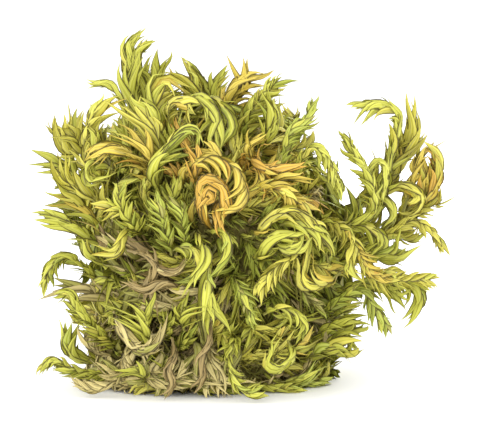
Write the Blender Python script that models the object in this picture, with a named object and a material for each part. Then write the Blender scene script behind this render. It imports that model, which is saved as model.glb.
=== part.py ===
"""Moss clump: long leafy moss shoots growing out of a cushion, which is cut off flat underneath.

The cushion is one solid: the mat of matted old stems out to the tips of the short shoots on it.
Each long shoot is one spindle-shaped solid that follows its own curved stem and reaches its leaf
tips. Its foot stands in a socket of the cushion. The clump rests on the cut face at z = 0.
Lengths in the tables are millimetres, and the scene is in metres. The front of the clump faces -Y.
"""

import math

import bmesh
import bpy
from mathutils import Vector

MM = 0.001

# The cushion: (height, centre x, half width, half depth) of its rounded levels.
CUSHION_LEVELS = (
    (0.0, 0.0, 27.0, 23.0),
    (6.0, 0.0, 29.5, 26.0),
    (16.0, 1.5, 32.5, 29.0),
    (30.0, 3.0, 35.0, 31.0),
    (43.0, 3.0, 35.5, 31.0),
    (53.0, 1.0, 32.5, 28.0),
    (61.0, -0.5, 26.0, 22.5),
    (67.0, -1.5, 16.5, 14.5),
)
CUSHION_TOP = (-2.0, 0.0, 70.0)
CUSHION_SIDES = 30
CUSHION_LUMP = 0.035  # how far the lumps swell the outline, as a share of its radius

# The shoots' solid section.
SHOOT_SIDES = 6
RING_SPACING = 4.2  # along the stem
FOOT_RADIUS = 0.9
TIP_RADIUS = 0.25
FOOT_SHARE = 0.32  # share of the length over which the foot widens to the full radius
TIP_SHARE = 0.38  # share of the length over which the shoot narrows to its tip
SOCKET_GAP = 0.35

# Shoots placed one by one: name, kind, full radius, and the stem from its foot to its tip.
SHOOTS = (
    # The plume and the tufts that stand up along the top.
    ("plume_tall", "green", 2.6,
     ((-9, -5, 57), (-14, -5, 68), (-17.5, -5, 76.5), (-20, -5, 82.5), (-20.3, -5, 86.5), (-18, -5, 90.5))),
    ("plume_side", "green", 2.0, ((-8, 2, 57), (-10.5, 2, 67), (-13.5, 2, 76), (-15, 2, 84))),
    ("plume_curl", "green", 2.2,
     ((-13, -10, 56), (-14, -15, 67), (-13.5, -16, 75), (-11, -16, 79), (-7.5, -16, 77.5))),
    ("crown_left", "green", 2.2, ((-2, -2, 63), (-2.5, -3, 72), (-4, -4, 78), (-6.5, -4, 82.5))),
    ("crown_middle", "green", 2.2, ((1, 3, 64), (0.5, 4, 73), (-1.2, 4, 78), (-2.2, 3, 82.5))),
    ("crown_gold", "golden", 2.3, ((3, -6, 62), (4.5, -12, 71.5), (7, -13, 77.5), (13.5, -12, 82))),
    ("crown_green", "green", 2.3, ((8, -12, 60), (10, -17, 69), (14, -18, 75), (19, -18, 80))),
    ("crown_right", "green", 2.2, ((14, -5, 56), (16.5, -7, 63), (18, -8, 68), (19, -8, 72.5))),
    # The upper left side.
    ("left_tendril", "green", 1.7,
     ((-19, -12, 50), (-20, -18, 63), (-21, -19, 72), (-24, -19, 77.5), (-29, -19, 78.5))),
    ("left_upright", "green", 2.4,
     ((-24, -14, 44), (-29, -21, 54), (-31, -22, 63), (-29, -22, 70), (-26, -22, 76.5))),
    ("left_fan_top", "green", 2.3, ((-25, -6, 50), (-32, -8, 58), (-37, -8, 61), (-40.5, -8, 66))),
    ("left_fan_far", "green", 2.2, ((-27, 2, 44), (-34, 2, 52), (-40, 2, 56), (-45, 2, 59.5))),
    ("left_fan_middle", "green", 2.4, ((-26, -11, 38), (-32, -14, 46), (-37, -15, 50.5), (-40, -14, 54))),
    ("left_fan_back", "green", 2.3, ((-27, 8, 40), (-34, 10, 45), (-41, 9, 48.5))),
    # The upper front.
    ("golden_blade", "golden", 2.0,
     ((-14, -18, 50), (-17, -27, 59), (-23, -30, 63), (-29, -30, 62.5))),
    ("front_upright", "green", 2.2,
     ((-10, -18, 54), (-12, -26, 62), (-15, -27, 70), (-16.5, -27, 76))),
    ("front_arch", "green", 1.8,
     ((-11, -20, 48), (-14, -31, 57), (-10, -34, 63), (-5, -35, 68), (-1.5, -35, 67.5),
      (-0.5, -35, 64))),
    ("front_feather", "green", 2.2,
     ((-15, -20, 40), (-18, -30, 43), (-21, -33, 48), (-22, -33, 54))),
    ("golden_curl", "golden", 1.8,
     ((2.5, -18, 41), (2.6, -30, 43.5), (4.8, -35.5, 48.5), (4.0, -36.8, 53.5),
      (0.5, -37, 56), (-2.4, -36.8, 54.3), (-3.6, -36, 50.5))),
    ("golden_sweep", "golden", 1.7,
     ((-7, -20, 51), (-5.5, -31, 57.5), (0, -35.6, 60.8), (6, -36.3, 59), (9.2, -36.3, 54),
      (8.6, -35.8, 48.5), (6.2, -35.2, 45.5))),
    ("orange_frond", "golden", 2.0,
     ((9, -18, 52), (9.5, -28, 60), (13, -32, 58), (17, -32, 57.5), (21.5, -32, 60.5))),
    ("golden_diagonal", "golden", 2.0,
     ((11, -20, 46), (13, -31, 52), (17, -34, 53), (22, -34, 50), (27, -33, 46.5))),
    ("right_frond", "green", 2.0,
     ((16, -16, 49), (18, -24, 58), (20.5, -25, 66), (25, -24, 70), (26, -23, 75.5))),
    ("right_arch", "green", 2.0,
     ((22, -15, 46), (22.4, -24, 56.5), (26, -26, 62.5), (30, -26, 59.5), (34.2, -26, 50.5))),
    # The lower front.
    ("front_twist", "green", 2.0,
     ((-3.5, -20, 39), (-2, -32, 40.5), (0.3, -36, 35), (0, -36, 29), (1, -35, 24), (4, -34, 19.5))),
    ("front_right", "green", 2.2, ((12, -22, 34), (13, -33, 36), (17, -36, 41), (22, -35, 42.5))),
    ("front_drooping", "green", 1.9,
     ((6, -21, 32), (7, -33, 30), (9, -35, 26), (10.5, -35, 21.5), (11.5, -34, 18.5))),
    ("front_bottom", "green", 1.7,
     ((6, -18, 14), (6.5, -30, 15), (5.5, -34, 10), (6.5, -35, 5.5), (9.5, -36, 2.8),
      (14, -37, 2.2))),
    ("front_rosette", "green", 2.6,
     ((-15, -20, 10), (-15, -30, 14), (-15.5, -34, 20), (-16, -34, 27))),
    ("old_stem_curl", "old", 1.3,
     ((-24, -17, 20), (-22.5, -29, 19), (-19, -34, 14.5), (-16, -37, 13), (-12.5, -36, 14),
      (-9.5, -34, 17))),
    # The spray of long shoots held out to the right.
    ("spray_hook", "green", 2.1,
     ((31, -4, 39), (38, -8, 40.5), (44, -8, 46), (46, -8, 55), (47.3, -8, 61), (48.8, -8, 66.5),
      (48, -8, 70.3), (43, -8, 72.3), (35, -8, 71))),
    ("spray_spike", "green", 2.0,
     ((31, 6, 44), (40, 3, 46), (46, 1, 53), (51, 0, 60), (54, 0, 65), (56.5, 0, 69.5))),
    ("spray_far", "golden", 2.4,
     ((32, 1, 34), (40, -1, 37), (49, -2, 41), (55, -3, 47), (58.5, -3, 53), (60, -3, 58))),
    ("spray_feather", "green", 2.1,
     ((29, -10, 43), (35, -16, 42), (41.5, -17, 46), (41.5, -17, 51), (39.5, -17, 56),
      (36.3, -17, 61.5), (35, -17, 66))),
    ("spray_drooping", "green", 2.0,
     ((31, -4, 29), (40, -7, 34), (48, -9, 40), (53, -10, 42.5), (57, -10, 40), (61.5, -9, 34.5))),
    ("golden_long", "golden", 2.1,
     ((24, -17, 42), (30, -22, 43.5), (35.5, -25, 40.5), (38, -26, 35), (41, -26, 31), (47, -25, 29),
      (57.5, -24, 29.6))),
    ("right_upturned", "green", 1.9,
     ((29, -9, 30), (37, -14, 33), (43, -17, 34), (48, -17, 34), (51, -16, 36))),
    ("right_hook_low", "green", 1.9,
     ((30, -12, 24), (38, -17, 27), (46, -18, 28), (51.5, -18, 27), (54.5, -18, 23),
      (54, -18, 18))),
    ("right_hanging", "green", 1.9,
     ((28, -14, 18), (34, -21, 24), (39, -23, 26), (42, -23, 22), (46, -22, 15.5))),
    ("low_right_upper", "green", 2.0,
     ((25, -12, 11), (31, -16, 15.5), (35, -18.5, 18.5), (38.5, -19, 20.5))),
    ("low_right_lower", "green", 1.9, ((22, -14, 6), (28, -20, 10), (33, -23, 12.5), (37.5, -24, 13))),
    # The lower left side.
    ("left_arch", "green", 2.1,
     ((-26, -8, 25), (-32, -11, 30.5), (-36.5, -12, 33.5), (-40.5, -12, 31), (-43, -12, 24))),
    ("left_feather", "green", 2.2,
     ((-21, -15, 10), (-26, -23, 14), (-30, -28, 19), (-33, -29, 23), (-34.5, -29, 26.3),
      (-37.5, -29, 26.6))),
    ("low_left_upright", "green", 2.0,
     ((-23, -6, 8), (-30, -11, 6.5), (-35.5, -13, 9), (-37.2, -13, 16.5))),
    ("low_left_flat", "green", 1.8,
     ((-21, -13, 4), (-29, -19, 4.2), (-35, -21, 6), (-39, -21, 8.2), (-43, -21, 6.4))),
    ("low_left_trailing", "old", 1.4,
     ((-15, -17, 5), (-20.5, -26, 6), (-24.5, -29, 3.5), (-29.5, -29, 2.4), (-34, -28, 3.5))),
)

# The tiers of shoots behind: name, foot height, angles from +X, and how far each shoot rises
# over its reach of BACK_REACH.
BACK_TIERS = (
    ("back_high", 50.0, (64, 94, 124, 154), 20.0),
    ("back_middle", 32.0, (22, 54, 90, 128, 164), 12.0),
    ("back_low", 10.0, (28, 66, 106, 146), 7.0),
)
BACK_FOOT_DEPTH = 9.0
BACK_REACH = 19.0
BACK_SWERVE = 3.5
BACK_RADIUS = 2.3

# Base colour and roughness of each kind of piece.
FINISHES = {
    "green": ((0.36, 0.40, 0.05), 0.55),
    "golden": ((0.55, 0.36, 0.04), 0.55),
    "old": ((0.25, 0.17, 0.07), 0.8),
    "cushion": ((0.16, 0.12, 0.05), 0.85),
}


def clear_scene():
    for found in list(bpy.data.objects):
        bpy.data.objects.remove(found, do_unlink=True)


def make_material(name, color, roughness):
    material = bpy.data.materials.new(name)
    material.use_nodes = True
    shader = material.node_tree.nodes["Principled BSDF"]
    shader.inputs["Base Color"].default_value = (*color, 1.0)
    shader.inputs["Roughness"].default_value = roughness
    shader.inputs["Metallic"].default_value = 0.0
    return material


def smooth_path(knots, spacing):
    """Points about spacing apart on a Catmull-Rom curve through the knots."""
    knots = [Vector(knot) for knot in knots]
    ends = [2 * knots[0] - knots[1], *knots, 2 * knots[-1] - knots[-2]]
    path = []
    for before, start, end, after in zip(ends, ends[1:], ends[2:], ends[3:]):
        steps = max(1, round((end - start).length / spacing))
        for step in range(steps):
            t = step / steps
            path.append(
                0.5 * (
                    2 * start
                    + (end - before) * t
                    + (2 * before - 5 * start + 4 * end - after) * t**2
                    + (3 * start - before - 3 * end + after) * t**3
                )
            )
    return [*path, knots[-1]]


def spindle_radius(share, radius):
    """Radius at a share of the length: a narrow foot, a full body and a drawn-out tip."""
    if share < FOOT_SHARE:
        swell = math.sin(0.5 * math.pi * share / FOOT_SHARE)
        return FOOT_RADIUS + (radius - FOOT_RADIUS) * swell
    if share > 1 - TIP_SHARE:
        left = (1 - share) / TIP_SHARE
        return TIP_RADIUS + (radius - TIP_RADIUS) * math.sin(0.5 * math.pi * left)
    return radius


def tube_mesh(name, path, radii):
    """A closed tube around the path, with a flat foot and a blunt point at the tip."""
    made = bmesh.new()
    side = (path[1] - path[0]).orthogonal().normalized()
    rings = []
    for index, (centre, radius) in enumerate(zip(path, radii)):
        ahead = path[min(index + 1, len(path) - 1)] - path[max(index - 1, 0)]
        along = ahead.normalized()
        side = (side - side.dot(along) * along).normalized()
        across = along.cross(side)
        ring = []
        for corner in range(SHOOT_SIDES):
            turn = 2 * math.pi * corner / SHOOT_SIDES
            offset = math.cos(turn) * side + math.sin(turn) * across
            ring.append(made.verts.new((centre + radius * offset) * MM))
        rings.append(ring)
    for lower, upper in zip(rings, rings[1:]):
        for corner in range(SHOOT_SIDES):
            after = (corner + 1) % SHOOT_SIDES
            made.faces.new((lower[corner], lower[after], upper[after], upper[corner]))
    made.faces.new(reversed(rings[0]))
    made.faces.new(rings[-1])
    mesh = bpy.data.meshes.new(name)
    made.to_mesh(mesh)
    made.free()
    mesh.shade_smooth()
    mesh.set_sharp_from_angle(angle=math.radians(60))
    return mesh


def spindle(name, knots, radius, grow=0.0):
    """The solid of one shoot. With grow it is that much fatter, to cut the shoot's socket."""
    path = smooth_path(knots, RING_SPACING)
    last = len(path) - 1
    radii = [spindle_radius(index / last, radius) + grow for index in range(len(path))]
    if grow:
        path[0] = path[0] - grow * (path[1] - path[0]).normalized()
        path[-1] = path[-1] + grow * (path[-1] - path[-2]).normalized()
    return bpy.data.objects.new(name, tube_mesh(name, path, radii))


def cushion_outline(height):
    """Centre x, half width and half depth of the cushion at a height, between its levels."""
    for lower, upper in zip(CUSHION_LEVELS, CUSHION_LEVELS[1:]):
        if lower[0] <= height <= upper[0]:
            t = (height - lower[0]) / (upper[0] - lower[0])
            return [a + (b - a) * t for a, b in zip(lower[1:], upper[1:])]
    raise ValueError(f"the cushion has no level at {height}")


def back_shoot(foot_height, angle, rise, swerve):
    """Knots of a shoot that leaves the back of the cushion at an angle and curves upwards."""
    centre_x, half_width, half_depth = cushion_outline(foot_height)
    turn = math.radians(angle)
    out = Vector((math.cos(turn), math.sin(turn), 0))
    sideways = Vector((-out.y, out.x, 0))
    foot = Vector((centre_x + half_width * out.x, half_depth * out.y, foot_height))
    foot -= BACK_FOOT_DEPTH * out
    knots = []
    for share, lift, bend in ((0, 0, 0), (0.4, 0.2, 0.5), (0.75, 0.55, 1.0), (1.0, 1.0, 0.6)):
        reach = BACK_REACH * share
        knots.append(foot + reach * out + Vector((0, 0, rise * lift)) + swerve * bend * sideways)
    return knots


def all_shoots():
    """Name, kind, radius and knots of every shoot."""
    shoots = list(SHOOTS)
    for tier, height, angles, rise in BACK_TIERS:
        for number, angle in enumerate(angles, start=1):
            swerve = BACK_SWERVE * (-1) ** number
            knots = back_shoot(height, angle, rise, swerve)
            shoots.append((f"{tier}_{number}", "green", BACK_RADIUS, knots))
    return shoots


def cushion_mesh(name):
    """The cushion: rounded levels with soft lumps, closed flat at z = 0."""
    made = bmesh.new()
    rings = []
    for height, centre_x, half_width, half_depth in CUSHION_LEVELS:
        ring = []
        for corner in range(CUSHION_SIDES):
            turn = 2 * math.pi * corner / CUSHION_SIDES
            lumps = math.sin(5 * turn + 0.11 * height) + math.sin(3 * turn - 0.17 * height)
            swell = 1 + CUSHION_LUMP * 0.5 * lumps
            x = centre_x + half_width * swell * math.cos(turn)
            y = half_depth * swell * math.sin(turn)
            ring.append(made.verts.new((x * MM, y * MM, height * MM)))
        rings.append(ring)
    for lower, upper in zip(rings, rings[1:]):
        for corner in range(CUSHION_SIDES):
            after = (corner + 1) % CUSHION_SIDES
            made.faces.new((lower[corner], lower[after], upper[after], upper[corner]))
    top = made.verts.new(Vector(CUSHION_TOP) * MM)
    for corner, edge in enumerate(rings[-1]):
        made.faces.new((edge, rings[-1][(corner + 1) % CUSHION_SIDES], top))
    made.faces.new(reversed(rings[0]))
    mesh = bpy.data.meshes.new(name)
    made.to_mesh(mesh)
    made.free()
    mesh.shade_smooth()
    mesh.set_sharp_from_angle(angle=math.radians(50))
    return mesh


def add_sockets(cushion, cutters):
    """Cuts the sockets that hold the shoots' feet into the cushion."""
    cut = cushion.modifiers.new("Sockets", "BOOLEAN")
    cut.operation = "DIFFERENCE"
    cut.operand_type = "COLLECTION"
    cut.collection = cutters


def main():
    clear_scene()
    scene = bpy.context.scene
    materials = {kind: make_material(f"{kind}_moss", *FINISHES[kind]) for kind in FINISHES}
    cushion = bpy.data.objects.new("cushion_mat", cushion_mesh("cushion_mat"))
    cushion.data.materials.append(materials["cushion"])
    scene.collection.objects.link(cushion)
    cutters = bpy.data.collections.new("Socket cutters")
    scene.collection.children.link(cutters)
    for name, kind, radius, knots in all_shoots():
        shoot = spindle(f"shoot_{name}", knots, radius)
        shoot.data.materials.append(materials[kind])
        scene.collection.objects.link(shoot)
        cutter = spindle(f"cut_{name}", knots, radius, grow=SOCKET_GAP)
        cutter.hide_render = True
        cutter.display_type = "WIRE"
        cutters.objects.link(cutter)
    add_sockets(cushion, cutters)


main()
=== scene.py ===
"""Looks of the moss clump: leafy shoots, short filling shoots, old stems and the matted core.

Every long shoot follows the same stem as its solid, so the knots below repeat the part's. Lengths
are millimetres until a mesh is made. Leaves follow the curve of their stem: a leaf is laid out in
its stem's own frame, as a distance along it, a distance out from it and an angle round it.
"""

import math
from collections import namedtuple

import bpy
import numpy as np
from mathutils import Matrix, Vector


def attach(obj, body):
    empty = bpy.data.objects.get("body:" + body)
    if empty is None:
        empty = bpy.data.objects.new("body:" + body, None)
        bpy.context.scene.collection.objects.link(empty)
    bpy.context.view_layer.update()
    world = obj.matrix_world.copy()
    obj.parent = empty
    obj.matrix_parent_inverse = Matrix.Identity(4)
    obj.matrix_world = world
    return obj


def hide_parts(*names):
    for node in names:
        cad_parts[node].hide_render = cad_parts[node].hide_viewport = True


MM = 0.001
RANDOM = np.random.default_rng(7)

# Long shoots: name, habit, hue, full radius, and the knots of the stem from its foot to its tip.
SHOOTS = (
    ("plume_tall", "plume", "lime", 3.3, (-9, -5, 57), (-14, -5, 68), (-17.5, -5, 76.5), (-20, -5, 82.5),
     (-20.3, -5, 86.5), (-18, -5, 90.5)),
    ("plume_side", "blade", "lime", 2.4, (-8, 2, 57), (-10.5, 2, 67), (-13.5, 2, 76), (-15, 2, 84)),
    ("plume_curl", "plume", "yellow", 2.3, (-13, -10, 56), (-14, -15, 67), (-13.5, -16, 75), (-11, -16, 79),
     (-7.5, -16, 77.5)),
    ("crown_left", "plume", "yellow", 2.3, (-2, -2, 63), (-2.5, -3, 72), (-4, -4, 78), (-6.5, -4, 82.5)),
    ("crown_middle", "plume", "lime", 2.8, (1, 3, 64), (0.5, 4, 73), (-1.2, 4, 78), (-2.2, 3, 82.5)),
    ("crown_gold", "plume", "gold", 2.5, (3, -6, 62), (4.5, -12, 71.5), (7, -13, 77.5), (13.5, -12, 82)),
    ("crown_green", "feather", "lime", 2.6, (8, -12, 60), (10, -17, 69), (14, -18, 75), (19, -18, 80)),
    ("crown_right", "blade", "yellow", 2.3, (14, -5, 56), (16.5, -7, 63), (18, -8, 68), (19, -8, 72.5)),
    ("left_tendril", "tendril", "lime", 0.9, (-19, -12, 50), (-20, -18, 63), (-21, -19, 72),
     (-24, -19, 77.5), (-29, -19, 78.5)),
    ("left_upright", "blade", "yellow", 2.2, (-24, -14, 44), (-29, -21, 54), (-31, -22, 63), (-29, -22, 70),
     (-26, -22, 76.5)),
    ("left_fan_top", "blade", "yellow", 3, (-25, -6, 50), (-32, -8, 58), (-37, -8, 61), (-40.5, -8, 66)),
    ("left_fan_far", "blade", "lime", 2.5, (-27, 2, 44), (-34, 2, 52), (-40, 2, 56), (-45, 2, 59.5)),
    ("left_fan_middle", "blade", "yellow", 1.9, (-26, -11, 38), (-32, -14, 46), (-37, -15, 50.5),
     (-40, -14, 54)),
    ("left_fan_back", "blade", "lime", 2.5, (-27, 8, 40), (-34, 10, 45), (-41, 9, 48.5)),
    ("golden_blade", "blade", "gold", 2.3, (-14, -18, 50), (-17, -27, 59), (-23, -30, 63),
     (-29, -30, 62.5)),
    ("front_upright", "plume", "yellow", 2.7, (-10, -18, 54), (-12, -26, 62), (-15, -27, 70),
     (-16.5, -27, 76)),
    ("front_arch", "ribbon", "lime", 1.8, (-11, -20, 48), (-14, -31, 57), (-10, -34, 63), (-5, -35, 68),
     (-1.5, -35, 67.5), (-0.5, -35, 64)),
    ("front_feather", "feather", "lime", 2.2, (-15, -20, 40), (-18, -30, 43), (-21, -33, 48),
     (-22, -33, 54)),
    ("golden_curl", "ribbon", "orange", 1.3, (2.5, -18, 41), (2.6, -30, 43.5), (4.8, -35.5, 48.5),
     (4, -36.8, 53.5), (0.5, -37, 56), (-2.4, -36.8, 54.3), (-3.6, -36, 50.5)),
    ("golden_sweep", "blade", "gold", 1.7, (-7, -20, 51), (-5.5, -31, 57.5), (0, -35.6, 60.8),
     (6, -36.3, 59), (9.2, -36.3, 54), (8.6, -35.8, 48.5), (6.2, -35.2, 45.5)),
    ("orange_frond", "blade", "orange", 2, (9, -18, 52), (9.5, -28, 60), (13, -32, 58), (17, -32, 57.5),
     (21.5, -32, 60.5)),
    ("golden_diagonal", "feather", "gold", 2, (11, -20, 46), (13, -31, 52), (17, -34, 53), (22, -34, 50),
     (27, -33, 46.5)),
    ("right_frond", "feather", "green", 1.6, (16, -16, 49), (18, -24, 58), (20.5, -25, 66), (25, -24, 70),
     (26, -23, 75.5)),
    ("right_arch", "feather", "lime", 1.3, (22, -15, 46), (22.4, -24, 56.5), (26, -26, 62.5),
     (30, -26, 59.5), (34.2, -26, 50.5)),
    ("front_twist", "blade", "lime", 2.1, (-3.5, -20, 39), (-2, -32, 40.5), (0.3, -36, 35), (0, -36, 29),
     (1, -35, 24), (4, -34, 19.5)),
    ("front_right", "ribbon", "lime", 2.2, (12, -22, 34), (13, -33, 36), (17, -36, 41), (22, -35, 42.5)),
    ("front_drooping", "feather", "green", 1.9, (6, -21, 32), (7, -33, 30), (9, -35, 26), (10.5, -35, 21.5),
     (11.5, -34, 18.5)),
    ("front_bottom", "feather", "lime", 1.7, (6, -18, 14), (6.5, -30, 15), (5.5, -34, 10), (6.5, -35, 5.5),
     (9.5, -36, 2.8), (14, -37, 2.2)),
    ("front_rosette", "tuft", "lime", 2.6, (-15, -20, 10), (-15, -30, 14), (-15.5, -34, 20),
     (-16, -34, 27)),
    ("old_stem_curl", "ribbon", "tan", 1.1, (-24, -17, 20), (-22.5, -29, 19), (-19, -34, 14.5),
     (-16, -37, 13), (-12.5, -36, 14), (-9.5, -34, 17)),
    ("spray_hook", "club", "lime", 2, (31, -4, 39), (38, -8, 40.5), (44, -8, 46), (46, -8, 55),
     (47.3, -8, 61), (48.8, -8, 66.5), (48, -8, 70.3), (43, -8, 72.3), (35, -8, 71)),
    ("spray_spike", "plume", "yellow", 3, (31, 6, 44), (40, 3, 46), (46, 1, 53), (51, 0, 60), (54, 0, 65),
     (56.5, 0, 69.5)),
    ("spray_far", "blade", "yellow", 3.2, (32, 1, 34), (40, -1, 37), (49, -2, 41), (55, -3, 47),
     (58.5, -3, 53), (60, -3, 58)),
    ("spray_feather", "feather", "lime", 1.9, (29, -10, 43), (35, -16, 42), (41.5, -17, 46),
     (41.5, -17, 51), (39.5, -17, 56), (36.3, -17, 61.5), (35, -17, 66)),
    ("spray_drooping", "feather", "yellow", 1.5, (31, -4, 29), (40, -7, 34), (48, -9, 40), (53, -10, 42.5),
     (57, -10, 40), (61.5, -9, 34.5)),
    ("golden_long", "feather", "yellow", 2.2, (24, -17, 42), (30, -22, 43.5), (35.5, -25, 40.5),
     (38, -26, 35), (41, -26, 31), (47, -25, 29), (57.5, -24, 29.6)),
    ("right_upturned", "blade", "lime", 2.3, (29, -9, 30), (37, -14, 33), (43, -17, 34), (48, -17, 34),
     (51, -16, 36)),
    ("right_hook_low", "blade", "lime", 2.6, (30, -12, 24), (38, -17, 27), (46, -18, 28), (51.5, -18, 27),
     (54.5, -18, 23), (54, -18, 18)),
    ("right_hanging", "feather", "green", 1.9, (28, -14, 18), (34, -21, 24), (39, -23, 26), (42, -23, 22),
     (46, -22, 15.5)),
    ("low_right_upper", "blade", "lime", 2, (25, -12, 11), (31, -16, 15.5), (35, -18.5, 18.5),
     (38.5, -19, 20.5)),
    ("low_right_lower", "blade", "lime", 1.9, (22, -14, 6), (28, -20, 10), (33, -23, 12.5),
     (37.5, -24, 13)),
    ("left_arch", "feather", "lime", 1.6, (-26, -8, 25), (-32, -11, 30.5), (-36.5, -12, 33.5),
     (-40.5, -12, 31), (-43, -12, 24)),
    ("left_feather", "feather", "lime", 1.8, (-21, -15, 10), (-26, -23, 14), (-30, -28, 19), (-33, -29, 23),
     (-34.5, -29, 26.3), (-37.5, -29, 26.6)),
    ("low_left_upright", "blade", "lime", 2, (-23, -6, 8), (-30, -11, 6.5), (-35.5, -13, 9),
     (-37.2, -13, 16.5)),
    ("low_left_flat", "feather", "lime", 1.3, (-21, -13, 4), (-29, -19, 4.2), (-35, -21, 6),
     (-39, -21, 8.2), (-43, -21, 6.4)),
    ("low_left_trailing", "feather", "tan", 1.4, (-15, -17, 5), (-20.5, -26, 6), (-24.5, -29, 3.5),
     (-29.5, -29, 2.4), (-34, -28, 3.5)),
)

# Locks of leaves that make the clump's main swirls, by the side of the cushion they grow on: habit,
# hue, radius and knots.
FRONT_LOCKS = (
    # The swirl of arches right of the middle.
    ("ribbon", "yellow", 1.7, (11, -28, 40), (13, -34, 43), (16, -36, 45.8), (19.5, -36, 47.8),
     (23, -35.5, 46.8), (27, -34, 43.5), (30.5, -32, 39)),
    ("ribbon", "lime", 1.5, (18, -30, 43.5), (21, -34.5, 44.8), (25, -35, 44), (28.5, -34, 41.5),
     (31, -32, 36)),
    ("lock", "lime", 1.5, (16, -30, 42), (17, -34, 39.5), (20, -35, 38), (23.5, -34.5, 38.5),
     (27, -33, 41)),
    ("feather", "yellow", 1.7, (24, -29, 38), (20, -34, 35.5), (16.5, -35.5, 33), (13.5, -35.5, 29.5),
     (11.8, -35, 26)),
    ("lock", "yellow", 1.6, (33, -25, 31), (30, -30, 29.5), (26.5, -32, 28.6), (23, -33, 29.5),
     (20, -33, 32)),
    ("lock", "lime", 1.6, (14, -28, 21), (17, -32, 23), (21, -33, 22.5), (24, -33, 19.5), (24, -33, 15.5)),
    ("lock", "lime", 1.6, (20, -26, 14), (21, -31, 11), (18, -33, 8), (14, -34, 9), (12.5, -34, 12.5)),
    # The strand down the middle.
    ("ribbon", "lime", 1.6, (0, -29, 42), (3.5, -35, 42.5), (5.2, -36.5, 39.5), (4.8, -36.5, 36.5),
     (2.5, -36, 32.5)),
    # Vivid green feathers left of the middle.
    ("feather", "green", 1.9, (-9, -29, 36), (-10, -33, 41), (-11, -34, 46), (-12.5, -34, 51)),
    ("feather", "green", 1.8, (-5, -29, 37), (-6, -33, 42), (-6.5, -34.5, 47), (-7.5, -34, 51)),
    ("lock", "lime", 1.5, (-9, -29, 37), (-6, -33, 38.5), (-3, -34, 37.5), (-1.5, -34, 34),
     (-3, -33, 31.5)),
    # Golden and pale blades on the left.
    ("tuft", "gold", 2.2, (-13.5, -24, 56), (-14.5, -30, 60), (-15.3, -31, 64), (-15.9, -31, 68)),
    ("feather", "yellow", 1.8, (-16, -28, 44), (-20, -32, 47), (-24, -33, 48.5), (-28, -33, 49)),
    ("blade", "yellow", 1.6, (-20, -26, 43), (-21, -31, 40), (-22.5, -32, 36.5), (-26.5, -32, 34)),
    # The orange heart of the golden curl.
    ("ribbon", "orange", 1.2, (1.5, -28, 42), (-0.8, -34, 45.5), (-1.8, -36, 49.5), (0, -36.8, 52.8),
     (2.2, -36.8, 51.2), (1.2, -36.5, 48.8)),
    ("ribbon", "orange", 1.3, (3.5, -27, 50), (3, -33, 49.5), (2, -36, 46.5), (1.6, -36.5, 42.5)),
    ("blade", "gold", 1.6, (9, -26, 56), (12, -31, 57.5), (13.5, -32.5, 54), (12.5, -33, 49.5)),
    ("blade", "gold", 1.8, (13, -25, 52), (16, -31, 55), (19, -32, 57), (23.5, -31.5, 59)),
    ("blade", "orange", 1.5, (-4, -28, 53), (-3, -33, 57), (-2, -34, 60), (-1.5, -34, 64)),
    ("blade", "gold", 1.6, (1, -28, 55), (2.5, -33, 59), (1.5, -34, 62), (-1, -34, 64.5)),
    ("lock", "gold", 1.4, (13, -24, 58), (11, -28, 60.5), (10, -30, 63), (11, -31, 67)),
    # Old brown strands in the hollow on the left.
    ("tendril", "umber", 1, (-20, -27, 37), (-15, -32, 36), (-12, -33, 33), (-8, -33, 32), (-5, -31, 34)),
    ("tendril", "umber", 0.9, (-17, -27, 27), (-14, -32, 30), (-12.5, -33, 34), (-14, -32, 37)),
    ("tendril", "umber", 1, (-6, -27, 26), (-9, -32, 29), (-12, -33, 29.5), (-16, -33, 28), (-20, -32, 30)),
    ("tendril", "umber", 0.7, (1, -28, 19), (0.5, -33, 15), (-1.5, -34, 10.5), (-1, -34, 6),
     (-3.5, -33, 2)),
    ("tendril", "umber", 0.7, (-9, -28, 15), (-8, -33, 11.5), (-9.5, -34, 8), (-8.5, -34, 4.5),
     (-10, -33, 1.5)),
    # Tufts low on the left.
    ("tuft", "lime", 1.9, (-6, -28, 17), (-6.5, -32, 20), (-6.5, -33.5, 23), (-5.5, -34, 26.5)),
    ("tuft", "lime", 2, (-16, -26, 4), (-16.5, -31, 6), (-17.5, -32.5, 8), (-19.5, -33, 10)),
)
LEFT_LOCKS = (
    ("lock", "lime", 1.6, (-24, -24, 57), (-28.5, -28, 59), (-30.5, -29, 56.5), (-30.3, -29, 53.5),
     (-27.5, -29, 51.5)),
    ("blade", "yellow", 2, (-22, -16, 57), (-26.5, -20, 62), (-29.5, -21, 66), (-30.5, -21, 70)),
    ("blade", "lime", 2, (-19, -8, 58), (-21.5, -12, 63), (-23, -13, 66.5), (-24.5, -13, 69.5)),
    ("blade", "olive", 2, (-22, -4, 52), (-25.5, -6, 58), (-27, -7, 62), (-27.5, -7, 66.5)),
    ("blade", "yellow", 2, (-26, -16, 46), (-32, -20, 51), (-36.5, -21, 54), (-40, -21, 58.5)),
    ("blade", "lime", 2, (-27, -14, 36), (-32, -19, 40.5), (-37, -20, 44), (-41.5, -20, 48)),
    ("blade", "lime", 1.8, (-25, -12, 31), (-29.5, -16, 33.5), (-32, -17, 35.5), (-34, -17, 38)),
    ("blade", "tan", 1.9, (-25, -14, 22), (-30, -19, 25.5), (-34, -20, 27.5), (-37.5, -20, 29.3)),
    ("tuft", "tan", 2, (-23, -14, 8), (-28, -18, 10), (-31, -19, 13), (-32, -19, 16.5)),
)
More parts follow.
